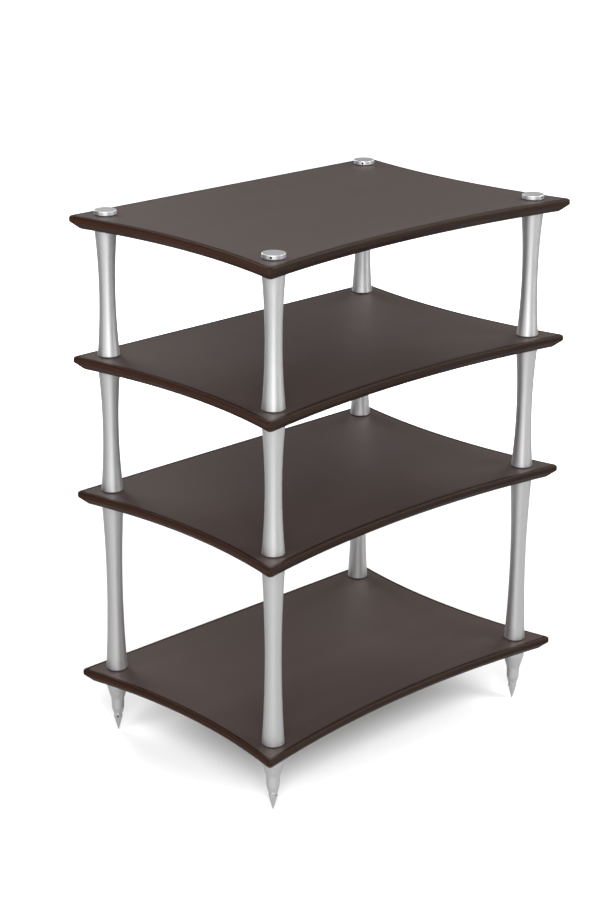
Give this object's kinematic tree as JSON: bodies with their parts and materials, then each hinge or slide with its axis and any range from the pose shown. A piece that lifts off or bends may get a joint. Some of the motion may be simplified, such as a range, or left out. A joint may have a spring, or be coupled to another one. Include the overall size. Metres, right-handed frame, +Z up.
{
  "type": "audio equipment rack",
  "caption": "Open audio equipment rack: thin dark wood shelves with hollow-curved edges, held apart by waisted aluminium columns on spiked feet that screw in and out for levelling.",
  "frame": {"origin": "on the floor under the middle of the rack, at the height of the spike points", "axes": "+Z up; +X to the right as seen from the front; -Y to the front, where the hollow long edges of the shelves are; +Y to the back, where the long edges are straight"},
  "size_m": [0.5804, 0.3968, 0.778],
  "materials": {
    "dark_veneer": "satin lacquered dark-stained veneer, fine straight grain along the width",
    "column_aluminium": "satin anodised, fine bead-blasted",
    "foot_aluminium": "satin anodised, fine bead-blasted",
    "spike_steel": "bright turned steel",
    "stud_steel": "bright zinc plated thread",
    "washer_rubber": "matt black"
  },
  "bodies": {
    "frame": {"bottom_shelf": "dark_veneer", "bottom_stud_front_left": "stud_steel", "bottom_stud_front_right": "stud_steel", "bottom_stud_back_right": "stud_steel", "bottom_stud_back_left": "stud_steel", "bottom_washer_front_left": "washer_rubber", "bottom_washer_front_right": "washer_rubber", "bottom_washer_back_right": "washer_rubber", "bottom_washer_back_left": "washer_rubber", "bottom_column_front_left": "column_aluminium", "bottom_column_front_right": "column_aluminium", "bottom_column_back_right": "column_aluminium", "bottom_column_back_left": "column_aluminium", "middle_shelf": "dark_veneer", "middle_stud_front_left": "stud_steel", "middle_stud_front_right": "stud_steel", "middle_stud_back_right": "stud_steel", "middle_stud_back_left": "stud_steel", "middle_washer_front_left": "washer_rubber", "middle_washer_front_right": "washer_rubber", "middle_washer_back_right": "washer_rubber", "middle_washer_back_left": "washer_rubber", "middle_column_front_left": "column_aluminium", "middle_column_front_right": "column_aluminium", "middle_column_back_right": "column_aluminium", "middle_column_back_left": "column_aluminium", "upper_shelf": "dark_veneer", "upper_stud_front_left": "stud_steel", "upper_stud_front_right": "stud_steel", "upper_stud_back_right": "stud_steel", "upper_stud_back_left": "stud_steel", "upper_washer_front_left": "washer_rubber", "upper_washer_front_right": "washer_rubber", "upper_washer_back_right": "washer_rubber", "upper_washer_back_left": "washer_rubber", "upper_column_front_left": "column_aluminium", "upper_column_front_right": "column_aluminium", "upper_column_back_right": "column_aluminium", "upper_column_back_left": "column_aluminium", "top_shelf": "dark_veneer", "cap_washer_front_left": "washer_rubber", "cap_washer_front_right": "washer_rubber", "cap_washer_back_right": "washer_rubber", "cap_washer_back_left": "washer_rubber", "cap_front_left": "column_aluminium", "cap_front_right": "column_aluminium", "cap_back_right": "column_aluminium", "cap_back_left": "column_aluminium", "foot_front_left": "foot_aluminium", "foot_front_right": "foot_aluminium", "foot_back_right": "foot_aluminium", "foot_back_left": "foot_aluminium"},
    "spike_tip_front_left": {"spike_tip_front_left": "spike_steel"},
    "spike_screw_front_left": {"spike_screw_front_left": "spike_steel"},
    "spike_tip_front_right": {"spike_tip_front_right": "spike_steel"},
    "spike_screw_front_right": {"spike_screw_front_right": "spike_steel"},
    "spike_tip_back_right": {"spike_tip_back_right": "spike_steel"},
    "spike_screw_back_right": {"spike_screw_back_right": "spike_steel"},
    "spike_tip_back_left": {"spike_tip_back_left": "spike_steel"},
    "spike_screw_back_left": {"spike_screw_back_left": "spike_steel"}
  },
  "joints": [
    {"name": "spike_travel_front_left", "type": "slide", "parent": "frame", "child": "spike_tip_front_left", "axis": [0, 0, -1], "range_m": [0, 0.008]},
    {"name": "spike_turn_front_left", "type": "hinge", "parent": "spike_tip_front_left", "child": "spike_screw_front_left", "pos_m": [-0.25, -0.165, 0.02], "axis": [0, 0, -1], "range_deg": [0, 2304]},
    {"name": "spike_travel_front_right", "type": "slide", "parent": "frame", "child": "spike_tip_front_right", "axis": [0, 0, -1], "range_m": [0, 0.008]},
    {"name": "spike_turn_front_right", "type": "hinge", "parent": "spike_tip_front_right", "child": "spike_screw_front_right", "pos_m": [0.25, -0.165, 0.02], "axis": [0, 0, -1], "range_deg": [0, 2304]},
    {"name": "spike_travel_back_right", "type": "slide", "parent": "frame", "child": "spike_tip_back_right", "axis": [0, 0, -1], "range_m": [0, 0.008]},
    {"name": "spike_turn_back_right", "type": "hinge", "parent": "spike_tip_back_right", "child": "spike_screw_back_right", "pos_m": [0.25, 0.165, 0.02], "axis": [0, 0, -1], "range_deg": [0, 2304]},
    {"name": "spike_travel_back_left", "type": "slide", "parent": "frame", "child": "spike_tip_back_left", "axis": [0, 0, -1], "range_m": [0, 0.008]},
    {"name": "spike_turn_back_left", "type": "hinge", "parent": "spike_tip_back_left", "child": "spike_screw_back_left", "pos_m": [-0.25, 0.165, 0.02], "axis": [0, 0, -1], "range_deg": [0, 2304]}
  ],
  "couplings": [
    {"joint": "spike_turn_front_left", "follows": "spike_travel_front_left", "rad_per_m": 5026.5},
    {"joint": "spike_turn_front_right", "follows": "spike_travel_front_right", "rad_per_m": 5026.5},
    {"joint": "spike_turn_back_right", "follows": "spike_travel_back_right", "rad_per_m": 5026.5},
    {"joint": "spike_turn_back_left", "follows": "spike_travel_back_left", "rad_per_m": 5026.5}
  ]
}
